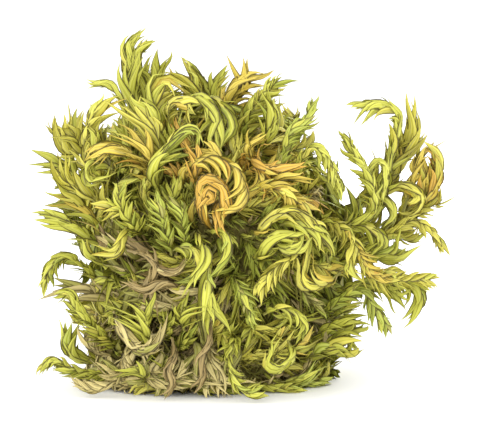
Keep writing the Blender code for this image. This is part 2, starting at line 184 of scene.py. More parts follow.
TOP_LOCKS = (
    ("plume", "lime", 2.4, (-12, -8, 62), (-17, -10, 69), (-20.5, -10.5, 75), (-22.7, -10.5, 83)),
    ("blade", "yellow", 2, (5, -12, 62), (8, -16, 68), (11, -17, 72.5), (15.5, -17, 77)),
    ("ribbon", "lime", 1.6, (-6, -15, 72), (-3, -20, 75), (0.5, -23, 73), (2.5, -24.5, 69),
     (2.2, -25.5, 65.5), (3.5, -26, 62)),
    ("ribbon", "lime", 1.6, (-3, -14, 71), (1, -19, 74), (4.5, -22.5, 71), (6.4, -24, 67), (5, -25, 63.5)),
    ("blade", "lime", 2, (-10.5, -22, 62), (-12.5, -26, 68), (-14.5, -27, 72), (-17.5, -27, 75.5)),
    ("blade", "lime", 2, (12, -16, 60), (15, -21, 65), (17, -22, 70), (17.5, -22, 75)),
    ("lock", "yellow", 1.8, (-8, -16, 64), (-10, -20, 69.5), (-9, -21, 73), (-5, -21, 74.5), (-2, -21, 73)),
)
SIDE_LOCKS = {"front": FRONT_LOCKS, "left": LEFT_LOCKS, "top": TOP_LOCKS}

# Locks that fill out the long shoots, with the name of the shoot first.
SHOOT_LOCKS = (
    ("plume_tall", "tendril", "lime", 0.9, (-15.5, -6, 74), (-17.6, -6, 81), (-18, -6, 85.5),
     (-16.6, -6, 88.3), (-14, -6, 89.6)),
    ("plume_tall", "tendril", "lime", 1.1, (-18, -6, 77), (-20, -6, 83), (-20.2, -6, 86.5), (-19.4, -6, 89),
     (-18, -6, 90.8)),
    ("crown_left", "blade", "lime", 1.6, (-2, -2, 66), (-2.5, -3, 73), (-3.5, -4, 78), (-5, -4, 82)),
    ("low_left_upright", "blade", "lime", 1.4, (-31, -12, 6), (-34.5, -14, 8), (-36, -14.5, 11),
     (-37, -14.5, 15)),
    ("low_right_lower", "blade", "lime", 2.2, (27, -14, 10), (32, -18, 13), (35, -20, 14.5),
     (38, -20, 13.5)),
    ("low_right_upper", "blade", "lime", 1.7, (30, -13, 17), (33.5, -16, 20), (36, -17, 22.5),
     (38, -17, 24.5)),
    ("plume_tall", "blade", "yellow", 1.5, (-17, -4, 75), (-20.5, -4, 79), (-21.3, -4, 82),
     (-21.6, -4, 85.5)),
    ("golden_long", "feather", "gold", 1.4, (36, -24, 40), (38.5, -27, 35), (41.5, -27.5, 31),
     (46, -27, 29.2)),
    ("crown_middle", "blade", "lime", 1.5, (0.8, 2, 68), (1.2, 2, 74), (1.2, 2, 77), (1.9, 2, 80.8)),
    ("crown_gold", "blade", "gold", 1.3, (3, -6, 66), (3.6, -8, 71), (3.8, -8, 74), (4.4, -8, 78.6)),
    ("crown_gold", "blade", "gold", 1.8, (5, -8, 68), (7, -11, 74), (9, -12, 77), (10.5, -12, 82)),
    ("spray_far", "ribbon", "yellow", 1.9, (41, -3, 41), (43, -6, 46), (45.5, -7, 50), (50.5, -7.5, 51.6),
     (54.6, -7.5, 48.6), (52.5, -7.5, 45.2), (49.5, -7, 45)),
    ("spray_far", "ribbon", "lime", 1.7, (37, -4, 46), (41, -7, 49), (45.5, -8, 47.5), (47.8, -8, 43.5),
     (45.5, -7.5, 39.5)),
    ("spray_far", "blade", "gold", 1.8, (50, -5, 44), (52.3, -6, 52), (54, -6.5, 58.5), (56.8, -6.5, 64)),
    ("spray_far", "blade", "gold", 1.3, (54, -4, 45), (58, -5, 50), (59.6, -5.5, 55), (59, -5.5, 60),
     (57.2, -6, 63.5)),
    ("spray_far", "blade", "gold", 1.8, (51, -3, 44), (54.5, -4, 49), (56.3, -4.5, 54), (57.2, -4.5, 60)),
    ("spray_far", "blade", "gold", 2, (47, -1, 42), (53, -2, 45), (57, -2, 47.5), (59.5, -2, 52.5)),
    ("spray_far", "blade", "yellow", 1.7, (49, -2, 42), (53, -3, 43.5), (55.5, -3, 44.5), (58.5, -3, 45.8)),
    ("spray_spike", "blade", "lime", 2.2, (41, -1, 46), (45.5, -3, 53), (48.5, -4, 58), (51, -4, 62.5)),
    ("spray_spike", "blade", "yellow", 2, (44, -2, 49), (48.5, -2, 54), (51.5, -2, 58.5), (55.3, -2, 63.5)),
    ("spray_spike", "tendril", "lime", 1, (42, -12, 46), (41.2, -13, 51), (41.2, -13, 55), (42.6, -13, 58),
     (44.6, -13, 57.5), (45, -13, 54), (44.4, -12, 49)),
    ("spray_feather", "blade", "green", 1.9, (33, -9, 38), (36.5, -11, 42), (38, -12, 46), (38.5, -12, 51)),
    ("right_upturned", "lock", "lime", 1.8, (33, -12, 38), (37, -15, 41.5), (41, -16, 41.5), (45, -15, 38),
     (45, -14.5, 34)),
    ("right_upturned", "lock", "lime", 1.8, (32, -10, 33), (36, -13, 36), (41, -14, 37), (45, -14, 35.5),
     (48, -13, 36.5)),
    ("right_hook_low", "blade", "lime", 2, (37, -14, 26), (42, -16, 26.5), (46.5, -17, 25),
     (50.5, -17, 23)),
)

# Old strands that hang along the foot of the cushion's front and left: how many, the half width and
# half depth of the line they leave it on, and how far each goes out, aside and down at each knot.
STRAND_COUNT = 22
STRAND_LINE = (29, 26)
STRAND_SHAPE = ((-3, 0, 0), (1.5, 0.6, 0.2), (2.2, -0.4, 0.55), (3, 1, 0.92))

# Side branches of the long shoots in front, and of each one behind.
BRANCHES = {
    "plume_tall": 1, "crown_green": 1, "left_upright": 1, "left_fan_top": 1, "left_fan_far": 1,
    "left_fan_back": 2, "spray_spike": 2, "spray_far": 3, "golden_long": 2, "low_right_upper": 1,
    "low_right_lower": 1, "right_hook_low": 1,
}
BACK_BRANCHES = 3
BRANCH_LENGTHS = (7, 10)  # the least and the greatest
BRANCH_SHAPE = ((0, 0), (0.28, 0.25), (0.62, 0.46), (1, 0.5))  # ahead and aside, in lengths

# The tiers of shoots behind, as in the part: name, height of the foot, angles and rise.
BACK_TIERS = (
    ("back_high", 50, (64, 94, 124, 154), 20),
    ("back_middle", 32, (22, 54, 90, 128, 164), 12),
    ("back_low", 10, (28, 66, 106, 146), 7),
)
BACK_FOOT_DEPTH = 9
BACK_REACH = 19
BACK_SWERVE = 3.5
BACK_RADIUS = 2.3
BACK_HUES = ("lime", "yellow", "green")

# The cushion's outline, as in the part: height, centre x, half width and half depth.
CUSHION_LEVELS = (
    (0, 0, 27, 23), (6, 0, 29.5, 26), (16, 1.5, 32.5, 29), (30, 3, 35, 31),
    (43, 3, 35.5, 31), (53, 1, 32.5, 28), (61, -0.5, 26, 22.5), (67, -1.5, 16.5, 14.5),
)
CORE_INSET = 9  # depth of the short shoots over the matted core
CORE_BASE_INSET = 3  # the same at the cut
CORE_TOP = 64
TOP_DISC = (-1.5, 16, 13, 61)  # centre x, half width, half depth and height of its top
FEET_TRIED = 9000  # places tried for the feet of short shoots
TOP_FROM = 60  # height at which the top starts
MIDDLE_X = 1.5  # the line between left and right

# How each habit bears its leaves: distance between leaves along the stem, leaf length and half
# width, how far the leaf tips stand out as a share of the shoot's radius, how flat the shoot is,
# how far the tips bend with the stem's curve, how soon the leaves stand out, the share of short
# leaves that fringe it, and how full the shoot is at each share of its length in FULLNESS_AT.
FULLNESS_AT = (0, 0.25, 0.6, 0.85, 1, 1.2)
Habit = namedtuple("Habit", "spacing length width spread flat bend rise fringe fullness")
HABITS = {
    "plume": Habit(1.45, 14, 1.7, 1.05, 0.65, 0.28, 0.85, 0.18, (0.5, 0.85, 1, 1, 0.9, 0.9)),
    "blade": Habit(1.25, 10, 1.48, 1.2, 0.7, 0.3, 0.85, 0.35, (0.5, 0.95, 1, 0.95, 0.9, 0.9)),
    "feather": Habit(0.4, 5.2, 1, 1.6, 0.6, 0.22, 1.05, 0.25, (0.5, 0.95, 1, 0.8, 0.5, 0.5)),
    "club": Habit(0.6, 8, 1.2, 1.3, 0.6, 0.25, 1, 0.3, (0.5, 0.4, 0.35, 1.1, 1.05, 0.9)),
    "ribbon": Habit(1.5, 14, 1.6, 0.95, 0.75, 0.14, 0.8, 0.4, (0.5, 0.95, 1, 0.8, 0.5, 0.5)),
    "tuft": Habit(0.95, 8, 1.2, 1.7, 0.9, 0.6, 0.9, 0.3, (0.5, 0.95, 1, 1.1, 1.3, 1.3)),
    "lock": Habit(1.5, 9.4, 1.3, 1.3, 0.7, 0.45, 0.85, 0.35, (0.5, 0.95, 1, 0.85, 0.8, 0.8)),
    "under": Habit(0.9, 4, 0.6, 1.5, 0.9, 0.4, 0.9, 0.3, (0.5, 0.95, 1, 1, 1, 1)),
    "tendril": Habit(0.9, 8, 0.85, 1, 0.8, 0.08, 0.9, 0.2, (0.5, 0.9, 1, 0.8, 0.5, 0.5)),
}

# How the short shoots climb from the core: their length, and how much of each stretch goes straight
# out from it.
CLIMBS = {
    "tuft": (10.5, (1, 0.95, 0.85, 0.75, 0.6)),
    "lock": (17, (1, 0.85, 0.45, 0.1, -0.2)),
    "feather": (14, (1, 0.9, 0.6, 0.35, 0.2)),
    "under": (7, (1, 0.8, 0.5, 0.2)),
}
LONGEST = 1.15  # the longest of them, as a share of that length
LONGEST_BEHIND = 1.45  # the same for those low at the back
ON_SHOULDER = 0.7  # length of those on the shoulder beside the spray, as a share of the others'
CURLS = {"tuft": 0.6, "lock": 2, "feather": 1.1, "under": 1.5}  # how far each turns, in radians

# A leaf's half width along its length.
LEAF_OUTLINE = (
    (0, 0.55), (0.18, 0.95), (0.36, 1), (0.6, 0.74), (0.8, 0.38), (0.92, 0.15), (1, 0.02),
)
LEAF_TURN = 2.4  # how far round the stem each leaf is from the one before
LEAF_CUP = 0.38  # how deep a leaf is cupped, as a share of its half width
SMALL_LEAF = 0.48  # length of the leaves that fringe a shoot, as a share of the others'
LAST_LEAF = 0.82  # how far before a stem's tip its last leaf starts, in leaf lengths
TIP_LEAVES = 5  # how many more start near there
STEM_RADIUS = 0.38
ON_GROUND = 0.15  # height of the leaves that reach the ground and lie on it

# The leaf pattern: each leaf takes one cell of a map, whose column is its tone, dark to pale, and
# whose row is its hue.
TONES = 8
HUE_COLORS = {
    "umber": (0.36, 0.255, 0.09),
    "tan": (0.6, 0.49, 0.185),
    "olive": (0.31, 0.29, 0.045),
    "green": (0.355, 0.395, 0.03),
    "lime": (0.5, 0.5, 0.045),
    "yellow": (0.58, 0.525, 0.056),
    "gold": (0.63, 0.475, 0.05),
    "orange": (0.61, 0.355, 0.032),
}
HUES = tuple(HUE_COLORS)
INK = (0.05, 0.038, 0.008)
# The colour of the painted highlight beside each leaf's midrib.
PAINTED_HIGHLIGHT_BAND = (0.7, 0.69, 0.35)
PLEATS = (42, 4, 1)  # scale of the pleats across and along the map
MAP_NAME = "OFBake"

# The middle tone of the leaves of each kind of shoot. The pale tones of the undergrowth and the strands
# are painted light, lightening the shade deep in the clump and near the floor; the shoots in the hollow
# are old brown moss painted darkest, as shade in the hollow.
MIDDLE_TONE = {
    "long": 3.3, "long old": 2.8, "lock": 3.6, "lock old": 2, "strand": 6.2, "short": 3.4,
    "short green": 3.2, "short golden": 3.8, "short old": 3.6, "hollow": 1, "undergrowth": 6.5,
}

# Painted light and shade: where the moss is painted paler, as if more lit, or darker, as shade in the
# hollows and at the spray's root: its least and greatest x, its least and greatest height, and how many
# tones paler. The first that holds a place counts.
PAINTED_LIGHT_AND_SHADE = (
    (-99, 99, 56, 99, 2),  # the top
    (-99, 99, -99, 16, 1.4),  # the foot
    (-99, -14, 30, 99, 0.5),  # the upper left
    (28, 99, 24, 50, -0.8),  # the root of the spray
    (-8, 99, 16, 46, -1),  # the hollows from the middle to the right
)
PAINTED_LIGHT_AND_SHADE_LONG = 0.6  # how much of that the long shoots and locks have
GREEN_SHARE = 0.3  # the share of deep green among the fresh short shoots

# Patches of the front with their own hues: middle x and height, half width and half height.
# The brown hollow, whose shoots are old brown moss painted in the darkest tone as shade in the hollow.
BROWN_HOLLOW = (-13, 33, 7, 5)
GOLDEN_HEART = (8, 54, 14, 9)

# The camera looks at a target in millimetres. The rest of the studio is in metres and watts.
CAMERA_TARGET = (8, -24, 45.1)
CAMERA_DISTANCE = 0.6
CAMERA_ELEVATION = 6  # degrees
SURROUND_STRENGTH = 1.5
FLOOR_REACH = 40
LIGHT_SIZE = 0.3
LIGHT_TARGET = (0, 0, 0.045)
LIGHTS = (
    ("front", (-0.12, -0.7, 0.22), 1.68),
    ("right", (0.65, -0.15, 0.22), 0.96),
    ("left", (-0.62, -0.2, 0.25), 1.2),
    ("back", (0.1, 0.7, 0.25), 1.38),
)


# -------- stems


def smooth_path(knots, spacing):
    """Points about spacing apart on a Catmull-Rom curve through the knots."""
    knots = [Vector(knot) for knot in knots]
    ends = [2 * knots[0] - knots[1], *knots, 2 * knots[-1] - knots[-2]]
    path = []
    for before, start, end, after in zip(ends, ends[1:], ends[2:], ends[3:]):
        square = 2 * before - 5 * start + 4 * end - after
        cube = 3 * start - before - 3 * end + after
        steps = max(1, round((end - start).length / spacing))
        for step in range(steps):
            t = step / steps
            path.append(0.5 * (2 * start + (end - before) * t + square * t**2 + cube * t**3))
    return [*path, knots[-1]]


class Stem:
    """A stem's centre line. Its side turns towards the way the shoot faces, where it can."""

    OVERRUN = 5  # how far the frame goes on past the tip, for leaves that pass it

    def __init__(self, knots, facing, spacing=0.7):
        points = np.array(smooth_path(knots, spacing), float)
        ahead = points[-1] - points[-2]
        ahead /= np.linalg.norm(ahead)
        extra = [points[-1] + ahead * step for step in np.arange(1.0, self.OVERRUN + 1)]
        self.points = np.vstack([points, extra])
        steps = np.linalg.norm(np.diff(self.points, axis=0), axis=1)
        self.at = np.concatenate([[0.0], np.cumsum(steps)])
        self.length = self.at[len(points) - 1]
        along = np.gradient(self.points, axis=0)
        along /= np.linalg.norm(along, axis=1)[:, None]
        facing = np.array(facing, float)
        side = facing - 0.6 * along[-1]
        sides = []
        for direction in along:
            side = side + 0.15 * facing
            side = side - side.dot(direction) * direction
            side /= np.linalg.norm(side)
            sides.append(side)
        self.along = along
        self.side = np.array(sides)
        self.across = np.cross(along, self.side)
        curve = np.sum(np.gradient(along, axis=0) * self.across)
        self.way = 1.0 if curve > 0 else -1.0  # the side that the stem curves to

    def read(self, rows, where):
        """Rows interpolated at distances along the stem."""
        return np.stack([np.interp(where, self.at, column) for column in rows.T], -1)


# -------- leaves


def add_piece(mesh, material):
    """Adds a mesh as a piece of its own name, which rides on the root body."""
    mesh.materials.append(material)
    piece = bpy.data.objects.new(mesh.name, mesh)
    bpy.context.scene.collection.objects.link(piece)
    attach(piece, "root")
    return piece


def corners_of(grid, closed):
    """The four corners of each face of some grids. A closed grid ends where it starts."""
    grid = np.concatenate([grid, grid[:, :, :1]], 2) if closed else grid
    return np.stack([grid[:, :-1, :-1], grid[:, :-1, 1:], grid[:, 1:, 1:], grid[:, 1:, :-1]], 3)


class Blades:
    """Collects leaves and stems as arrays, to be made into one mesh."""

    def __init__(self):
        self.points = []
        self.faces = []
        self.places = []
        self.count = 0

    def add_grid(self, points, cell, along, across, closed=False):
        """Adds grids of points, one for each blade: blades x rows x columns x 3."""
        blades, rows, columns = points.shape[:3]
        index = np.arange(blades * rows * columns).reshape(blades, rows, columns) + self.count
        tone, hue = (number[:, None, None] for number in cell)
        u = (tone + 0.5 + 0.44 * across[None, None, :]) / TONES
        v = (hue + 0.04 + 0.92 * along[None, :, None]) / len(HUES)
        u, v = np.broadcast_arrays(u, v)
        self.points.append(points.reshape(-1, 3))
        self.faces.append(corners_of(index, closed).reshape(-1, 4))
        self.places.append(corners_of(np.stack([u, v], -1), closed).reshape(-1, 2))
        self.count += blades * rows * columns

    def make(self, name, material, slot):
        """Makes one piece of them all."""
        points = np.concatenate(self.points)
        points[:, 2] = np.maximum(points[:, 2], ON_GROUND)
        faces = np.concatenate(self.faces)
        mesh = bpy.data.meshes.new(name)
        mesh.vertices.add(len(points))
        mesh.vertices.foreach_set("co", (points * MM).astype(np.float32).ravel())
        mesh.loops.add(faces.size)
        mesh.loops.foreach_set("vertex_index", faces.astype(np.int32).ravel())
        mesh.polygons.add(len(faces))
        mesh.polygons.foreach_set("loop_start", np.arange(0, faces.size, 4, dtype=np.int32))
        layer = mesh.uv_layers.new(name=MAP_NAME)
        layer.uv.foreach_set("vector", np.concatenate(self.places).astype(np.float32).ravel())
        mesh.update(calc_edges=True)
        mesh.shade_smooth()
        return add_piece(mesh, material)


def leaf_cells(count, hue, tone, wander=0.15):
    """The map cells of some leaves: most have the hue asked for, and a few are a step off it."""
    wanders = RANDOM.random(count) < wander
    row = HUES.index(hue) + np.where(wanders, RANDOM.choice((-1, 1), count), 0)
    column = np.round(tone + RANDOM.normal(0, 1.0, count))
    first = 0 if hue == "umber" else 1  # only old leaves are umber
    return np.clip(column, 0, TONES - 1), np.clip(row, first, len(HUES) - 1)


def add_leaves(blades, stem, radius, habit, hue, tone=3.6, rows=8, columns=5):
    """Leaves all along a stem, from the foot to the tip."""
    look = HABITS[habit]
    # Where each leaf leaves the stem, and how far round it.
    longest = min(look.length, 0.6 * stem.length)
    last = stem.length - LAST_LEAF * longest
    foot = np.arange(0.1 * stem.length, last, look.spacing)
    tips = np.linspace(last - 0.16 * longest, last + 0.06 * longest, TIP_LEAVES)
    foot = np.concatenate([foot, tips])
    count = len(foot)
    foot = foot + RANDOM.normal(0, 0.4, count)
    turn = np.arange(count) * LEAF_TURN + RANDOM.normal(0, 0.7, count)
    turn = turn + 0.5 * (1 - look.flat) * np.sin(2 * turn)
    turn = np.mod(turn + math.pi, 2 * math.pi) - math.pi
    # Its size, how far it stands out, and how it turns, rolls, lifts, waves and bends.
    small = RANDOM.random(count) < look.fringe
    length = longest * np.where(small, SMALL_LEAF, 1.0) * RANDOM.uniform(0.72, 1.12, count)
    width = look.width * RANDOM.uniform(0.75, 1.15, count) * (length / look.length)**0.6
    spread = look.spread * RANDOM.uniform(0.7, 1.15, count) * np.where(small, 1.15, 1.0)
    sway = RANDOM.normal(0, 0.2, count)
    roll = RANDOM.normal(0, 0.25, count)
    kick = RANDOM.uniform(-0.01, 0.13, count) * length
    wave = RANDOM.normal(0, 0.06, count) * length
    bend = look.bend * (stem.way + RANDOM.normal(0, 0.35, count)) * length
    # The line down its middle.
    u = np.linspace(0, 1, rows)
    ripple = u * np.sin(2 * math.pi * u)
    where = foot[:, None] + length[:, None] * u * 0.96
    centre = stem.read(stem.points, where)
    side = stem.read(stem.side, where)
    across = stem.read(stem.across, where)
    full = radius * np.interp(where / stem.length, FULLNESS_AT, look.fullness)
    out = 0.3 + (full - 0.3) * spread[:, None] * u ** look.rise + kick[:, None] * u**3
    angle = turn[:, None] + sway[:, None] * u**2
    spine = (
        centre
        + (look.flat * out * np.cos(angle))[..., None] * side
        + (out * np.sin(angle) + bend[:, None] * u**2.1 + wave[:, None] * ripple)[..., None] * across
    )
    # Its blade. Leaves on the shoot's face are turned to it, and the others away from it.
    turned = np.abs(turn)
    facing = np.where(turned < 2.0, 0.5 * turn, turn - 0.5 * np.sign(turn) * (turned - math.pi))
    facing = facing[:, None] + roll[:, None] * (0.3 + u)
    wide = np.cos(facing)[..., None] * across - np.sin(facing)[..., None] * side
    face = np.cos(facing)[..., None] * side + np.sin(facing)[..., None] * across
    v = np.linspace(-1, 1, columns)
    half = width[:, None] * np.interp(u, *zip(*LEAF_OUTLINE))
    cup = LEAF_CUP * half[..., None] * v**2
    points = (
        spine[:, :, None]
        + (half[..., None] * v)[..., None] * wide[:, :, None]
        - cup[..., None] * face[:, :, None]
    )
    # Painted shade: leaves round the back of the shoot are darker than those on its face. The tone also
    # darkens towards the foot of the stem and pales towards its tip.
    tone = tone + 1.1 * np.cos(turn) + 1.6 * (foot / stem.length - 0.4)
    blades.add_grid(points, leaf_cells(count, hue, tone), u, v)


def add_stem(blades, stem, thickness, hue, tone=3, end=0.8, sides=5):
    """The stem itself, as a thin tapered tube."""
    where = np.linspace(0, end * stem.length, max(4, round(stem.length / 2.5)))
    turn = np.linspace(0, 2 * math.pi, sides, endpoint=False)
    centre = stem.read(stem.points, where)
    side = stem.read(stem.side, where)
    across = stem.read(stem.across, where)
    taper = thickness * np.linspace(1, 0.45, len(where))
    ring = (
        np.cos(turn)[None, :, None] * side[:, None] + np.sin(turn)[None, :, None] * across[:, None]
    )
    points = centre[:, None] + taper[:, None, None] * ring
    cell = (np.array([tone]), np.array([HUES.index(hue)]))
    blades.add_grid(
        points[None], cell, np.linspace(0.2, 0.6, len(where)), np.linspace(-0.4, 0.4, sides), True
    )


def middle_of(knots):
    return Vector(knots[len(knots) // 2])


def painted_light_at(point):
    """How many tones paler the moss is painted at a place, as light, or darker, as shade."""
    for least_x, greatest_x, least_z, greatest_z, tones in PAINTED_LIGHT_AND_SHADE:
        if least_x < point.x < greatest_x and least_z < point.z < greatest_z:
            return tones
    return 0.0


def tone_of(kind, knots):
    """The tone of a long shoot or lock, with its place's painted light and shade. Old ones have the same
    tone everywhere.
    """
    painted_tones = 0.0 if kind.endswith("old") else PAINTED_LIGHT_AND_SHADE_LONG * painted_light_at(middle_of(knots))
    return MIDDLE_TONE[kind] + painted_tones


def facing_of(knots):
    """The way a long shoot faces: out of the clump, and for those in front mostly forwards."""
    middle = middle_of(knots)
    away = Vector((middle.x * 0.5, middle.y, (middle.z - 30) * 0.3)).normalized()
    return away + Vector((0, -1.0 if middle.y < 6 else 0.0, 0))


def add_branches(blades, stem, radius, hue, count):
    """Side branches that leave a stem by turns to either side and curve the way it goes."""
    for number in range(count):
        where = stem.length * (0.3 + 0.4 * (number + 0.5) / count)
        base = stem.read(stem.points, where)
        along = stem.read(stem.along, where)
        side = stem.read(stem.side, where)
        out = (-1) ** number * stem.read(stem.across, where) + RANDOM.uniform(-0.2, 0.4) * side
        length = RANDOM.uniform(*BRANCH_LENGTHS)
        knots = [base + length * (ahead * along + aside * out) for ahead, aside in BRANCH_SHAPE]
        branch = Stem(knots, side)
        add_stem(blades, branch, 0.3, "olive")
        add_leaves(blades, branch, 0.75 * radius, "blade", hue)


def add_locks(blades, home):
    """The locks that belong to a side of the cushion or to a long shoot."""
    own = [lock for owner, *lock in SHOOT_LOCKS if owner == home]
    for habit, hue, radius, *knots in SIDE_LOCKS.get(home, own):
        stem = Stem(knots, facing_of(knots))
        old = hue in ("tan", "umber")
        add_stem(blades, stem, STEM_RADIUS, hue if old else "olive")
        tone = tone_of("lock old" if old else "lock", knots)
        add_leaves(blades, stem, radius, habit, hue, tone)


# -------- the cushion


def level_at(height):
    """Centre x, half width and half depth of the cushion at a height."""
    table = np.array(CUSHION_LEVELS)
    return [float(np.interp(height, table[:, 0], column)) for column in table.T[1:]]


def back_shoot(foot_height, angle, rise, swerve):
    """Knots of a shoot that leaves the back of the cushion at an angle and curves upwards."""
    centre_x, half_width, half_depth = level_at(foot_height)
    turn = math.radians(angle)
    out = Vector((math.cos(turn), math.sin(turn), 0))
    sideways = Vector((-out.y, out.x, 0))
    foot = Vector((centre_x + half_width * out.x, half_depth * out.y, foot_height))
    foot -= BACK_FOOT_DEPTH * out
    knots = []
    for share, lift, bend in ((0, 0, 0), (0.4, 0.2, 0.5), (0.75, 0.55, 1), (1, 1, 0.6)):
        reach = BACK_REACH * share
        knots.append(foot + reach * out + Vector((0, 0, rise * lift)) + swerve * bend * sideways)
    return knots


def all_shoots():
    """Name, habit, hue, radius and knots of every long shoot."""
    shoots = list(SHOOTS)
    for tier, height, angles, rise in BACK_TIERS:
        for number, angle in enumerate(angles, start=1):
            swerve = BACK_SWERVE * (-1) ** number
            knots = back_shoot(height, angle, rise, swerve)
            habit = ("blade", "feather")[number % 2]
            hue = BACK_HUES[number % len(BACK_HUES)]
            shoots.append((f"{tier}_{number}", habit, hue, BACK_RADIUS, *knots))
    return shoots


def core_point(turn, height):
    """A point of the core's surface and its outward direction."""
    centre_x, half_width, half_depth = level_at(height)
    inset = CORE_BASE_INSET + (CORE_INSET - CORE_BASE_INSET) * min(1.0, height / 10.0)
    half_width -= inset
    half_depth -= inset
    above = level_at(min(height + 2.0, 67.0))
    below = level_at(max(height - 2.0, 0.0))
    slope = (below[1] - above[1]) / 4.0
    normal = Vector((math.cos(turn), math.sin(turn) * half_width / half_depth, slope))
    point = Vector((centre_x + half_width * math.cos(turn), half_depth * math.sin(turn), height))
    return point, normal.normalized()


# -------- materials


def add_node(tree, kind, **settings):
    node = tree.nodes.new(kind)
    for name, value in settings.items():
        setattr(node, name, value)
    return node


def put(tree, node, name, value):
    """Gives an input of a node a number, a colour or a link."""
    socket = node.inputs[name]
    if isinstance(value, bpy.types.NodeSocket):
        tree.links.new(value, socket)
    elif isinstance(value, tuple):
        socket.default_value = (*value, 1)
    else:
        socket.default_value = value


def math_node(tree, operation, *values):
    node = add_node(tree, "ShaderNodeMath", operation=operation)
    for number, value in enumerate(values):
        put(tree, node, number, value)
    return node.outputs[0]


def mix_node(tree, factor, first, second, blend="MIX"):
    node = add_node(tree, "ShaderNodeMix", data_type="RGBA", blend_type=blend)
    put(tree, node, 0, factor)
    put(tree, node, 6, first)
    put(tree, node, 7, second)
    return node.outputs[2]


def noise_node(tree, place, scale, detail, distortion=0, dimensions="3D"):
    node = add_node(tree, "ShaderNodeTexNoise", noise_dimensions=dimensions)
    put(tree, node, "Vector", place)
    put(tree, node, "Scale", scale)
    put(tree, node, "Detail", detail)
    put(tree, node, "Distortion", distortion)
    return node.outputs[0]


def add_bump(tree, shader, height, strength, distance):
    node = add_node(tree, "ShaderNodeBump")
    put(tree, node, "Height", height)
    put(tree, node, "Strength", strength)
    put(tree, node, "Distance", distance)
    put(tree, shader, "Normal", node.outputs[0])


def grey(value):
    return (value, value, value)


def new_material(name, roughness, specular=0.3):
    material = bpy.data.materials.new(name)
    material.use_nodes = True
    tree = material.node_tree
    shader = tree.nodes["Principled BSDF"]
    put(tree, shader, "Roughness", roughness)
    put(tree, shader, "Specular IOR Level", specular)
    return material, tree, shader


def ramp_node(tree, value, stops, interpolation="LINEAR"):
    node = add_node(tree, "ShaderNodeValToRGB")
    node.color_ramp.interpolation = interpolation
    while len(node.color_ramp.elements) < len(stops):
        node.color_ramp.elements.new(0.5)
    for element, (position, color) in zip(node.color_ramp.elements, stops):
        element.position = position
        element.color = (*color, 1)
    put(tree, node, 0, value)
    return node.outputs[0]


def leaf_material():
    """Leaf colour from the leaf map alone: hue by row, tone by column, inked edges and midrib, a painted
    highlight.
    """
    material, tree, shader = new_material("moss_leaf", 0.55)
    spot = add_node(tree, "ShaderNodeUVMap", uv_map=MAP_NAME)
    parts = add_node(tree, "ShaderNodeSeparateXYZ")
    put(tree, parts, 0, spot.outputs[0])
    columns = math_node(tree, "MULTIPLY", parts.outputs[0], TONES)
    rows = math_node(tree, "MULTIPLY", parts.outputs[1], len(HUES))
    tone = math_node(tree, "DIVIDE", math_node(tree, "FLOOR", columns), TONES - 1)
    across = math_node(tree, "MULTIPLY_ADD", math_node(tree, "FRACT", columns), 2, -1)
    across = math_node(tree, "ABSOLUTE", math_node(tree, "DIVIDE", across, 0.88))
    along = math_node(tree, "FRACT", rows)
    stops = [(index / len(HUES), HUE_COLORS[hue]) for index, hue in enumerate(HUES)]
    hue = ramp_node(tree, parts.outputs[1], stops, "CONSTANT")
    # Tone, then a dark foot and a pale tip.
    shade = math_node(tree, "MULTIPLY_ADD", tone, 0.29, 0.71)
    foot = ramp_node(tree, along, ((0, grey(0.72)), (0.35, grey(0.97)), (1, grey(1.06))))
    color = mix_node(tree, 1, hue, shade, "MULTIPLY")
    color = mix_node(tree, 1, color, foot, "MULTIPLY")
    # Pleats: fine streaks along the leaf.
    stretch = add_node(tree, "ShaderNodeMapping")
    stretch.inputs["Scale"].default_value = PLEATS
    put(tree, stretch, "Vector", spot.outputs[0])
    streaks = noise_node(tree, stretch.outputs[0], 1, 2, dimensions="2D")
    streak = ramp_node(tree, streaks, ((0.38, grey(0.5)), (0.5, grey(1.06))))
    color = mix_node(tree, 0.62, color, streak, "MULTIPLY")
    # Painted highlight: a pale band either side of the midrib, stronger on paler tones.
    painted_highlight = ramp_node(tree, across, ((0.05, grey(0)), (0.35, grey(1)), (0.75, grey(0))))
    painted_highlight = math_node(tree, "MULTIPLY", painted_highlight, math_node(tree, "MULTIPLY", tone, 0.22))
    color = mix_node(tree, painted_highlight, color, PAINTED_HIGHLIGHT_BAND)
    # Dark midrib and edges.
    rib = ramp_node(tree, across, ((0, grey(1)), (0.12, grey(0))))
    color = mix_node(tree, math_node(tree, "MULTIPLY", rib, 0.4), color, INK)
    edge = ramp_node(tree, across, ((0.7, grey(0)), (0.86, grey(1))))
    color = mix_node(tree, math_node(tree, "MULTIPLY", edge, 0.92), color, INK)
    put(tree, shader, "Base Color", color)
    add_bump(tree, shader, streaks, 0.25, 0.0002)
    return material


def core_material():
    """The matted core: brown and olive, with fine matted fibres; dark partly as old matted stems, partly as
    painted shade between shoots.
    """
    material, tree, shader = new_material("matted_core", 0.9, 0.15)
    spot = add_node(tree, "ShaderNodeTexCoord")
    fibres = noise_node(tree, spot.outputs["Object"], 260, 6, distortion=1.5)
    stops = ((0.3, (0.09, 0.075, 0.02)), (0.5, (0.17, 0.145, 0.035)), (0.7, (0.28, 0.23, 0.08)))
    put(tree, shader, "Base Color", ramp_node(tree, fibres, stops))
    add_bump(tree, shader, fibres, 0.8, 0.001)
    return material


# -------- pieces


def slot_of(name, hue):
    """The material slot of a long shoot."""
    if hue in ("gold", "orange") or name in ("spray_far", "golden_long"):
        return "golden_leaf"
    return "brown_stem" if name == "old_stem_curl" else "green_leaf"


